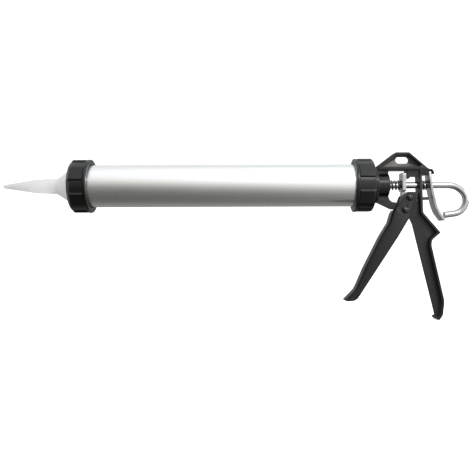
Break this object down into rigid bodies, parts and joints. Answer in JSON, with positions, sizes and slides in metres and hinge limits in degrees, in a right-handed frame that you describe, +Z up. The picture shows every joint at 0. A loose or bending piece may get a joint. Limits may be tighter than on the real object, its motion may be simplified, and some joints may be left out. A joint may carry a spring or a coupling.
{
  "type": "caulking gun",
  "caption": "Manual sealant gun: cone nozzle and screw ring on a swivelling metal tube, pistol frame with trigger and grip, catch lever, hooked push rod.",
  "frame": {"origin": "centre of the nozzle's outlet", "axes": "+X along the barrel from the nozzle towards the handle, +Z up, grip pointing down, +Y to the far side"},
  "size_m": [0.5853, 0.067, 0.2085],
  "materials": {
    "nozzle_plastic": "milky moulded",
    "seal_rubber": "smooth",
    "black_plastic": "satin moulded",
    "satin_aluminium": "satin drawn and anodised",
    "black_paint": "semi-gloss black on a die casting",
    "black_steel": "gloss black",
    "zinc_steel": "bright zinc plate",
    "spring_steel": "dark oiled",
    "rod_steel": "polished drawn bar",
    "piston_plastic": "moulded"
  },
  "bodies": {
    "frame": {"frame": "black_paint", "pivot_rivet": "black_steel", "stop_pin": "black_steel", "swivel_washer": "zinc_steel", "swivel_nut": "zinc_steel", "drive_spring": "spring_steel", "catch_spring": "spring_steel"},
    "barrel": {"barrel_tube": "satin_aluminium", "rear_cap": "black_plastic"},
    "nozzle": {"nozzle": "nozzle_plastic", "nozzle_seal": "seal_rubber"},
    "front_ring": {"front_ring": "black_plastic"},
    "trigger": {"trigger": "black_paint", "pusher_pin": "black_steel"},
    "drive_plate": {"drive_plate": "zinc_steel"},
    "catch_lever": {"catch_lever": "zinc_steel"},
    "plunger": {"piston": "piston_plastic", "piston_cup": "seal_rubber"},
    "rod": {"push_rod": "rod_steel", "piston_front_washer": "zinc_steel", "piston_rear_washer": "zinc_steel", "piston_nut": "zinc_steel"}
  },
  "joints": [
    {"name": "barrel_swivel", "type": "hinge", "parent": "frame", "child": "barrel", "pos_m": [0.4585, 0, 0], "axis": [1, 0, 0], "continuous": true},
    {"name": "nozzle_off", "type": "slide", "parent": "barrel", "child": "nozzle", "axis": [-1, 0, 0], "range_m": [0, 0.015]},
    {"name": "ring_turn", "type": "hinge", "parent": "nozzle", "child": "front_ring", "pos_m": [0.1, 0, 0], "axis": [-1, 0, 0], "range_deg": [0, 1800]},
    {"name": "trigger_pull", "type": "hinge", "parent": "frame", "child": "trigger", "pos_m": [0.5032, 0, -0.0311], "axis": [0, -1, 0], "range_deg": [0, 24], "stiffness_Nm_per_rad": 1.5, "springref_deg": -9.74, "deforming": ["drive_spring"]},
    {"name": "plate_slide", "type": "slide", "parent": "frame", "child": "drive_plate", "axis": [-1, 0, 0], "range_m": [0, 0.0069]},
    {"name": "catch_release", "type": "hinge", "parent": "frame", "child": "catch_lever", "pos_m": [0.5336, 0, 0.0152], "axis": [0, 1, 0], "range_deg": [0, 4], "stiffness_Nm_per_rad": 0.6, "springref_deg": -14.32, "deforming": ["catch_spring"]},
    {"name": "plunger_slide", "type": "slide", "parent": "frame", "child": "plunger", "axis": [1, 0, 0], "range_m": [0, 0.3]},
    {"name": "rod_turn", "type": "hinge", "parent": "plunger", "child": "rod", "pos_m": [0.3, 0, 0], "axis": [1, 0, 0], "continuous": true}
  ],
  "couplings": [
    {"joint": "nozzle_off", "follows": "ring_turn", "m_per_rad": 0.00047746},
    {"joint": "plate_slide", "follows": "trigger_pull", "m_per_rad": 0.0162}
  ]
}
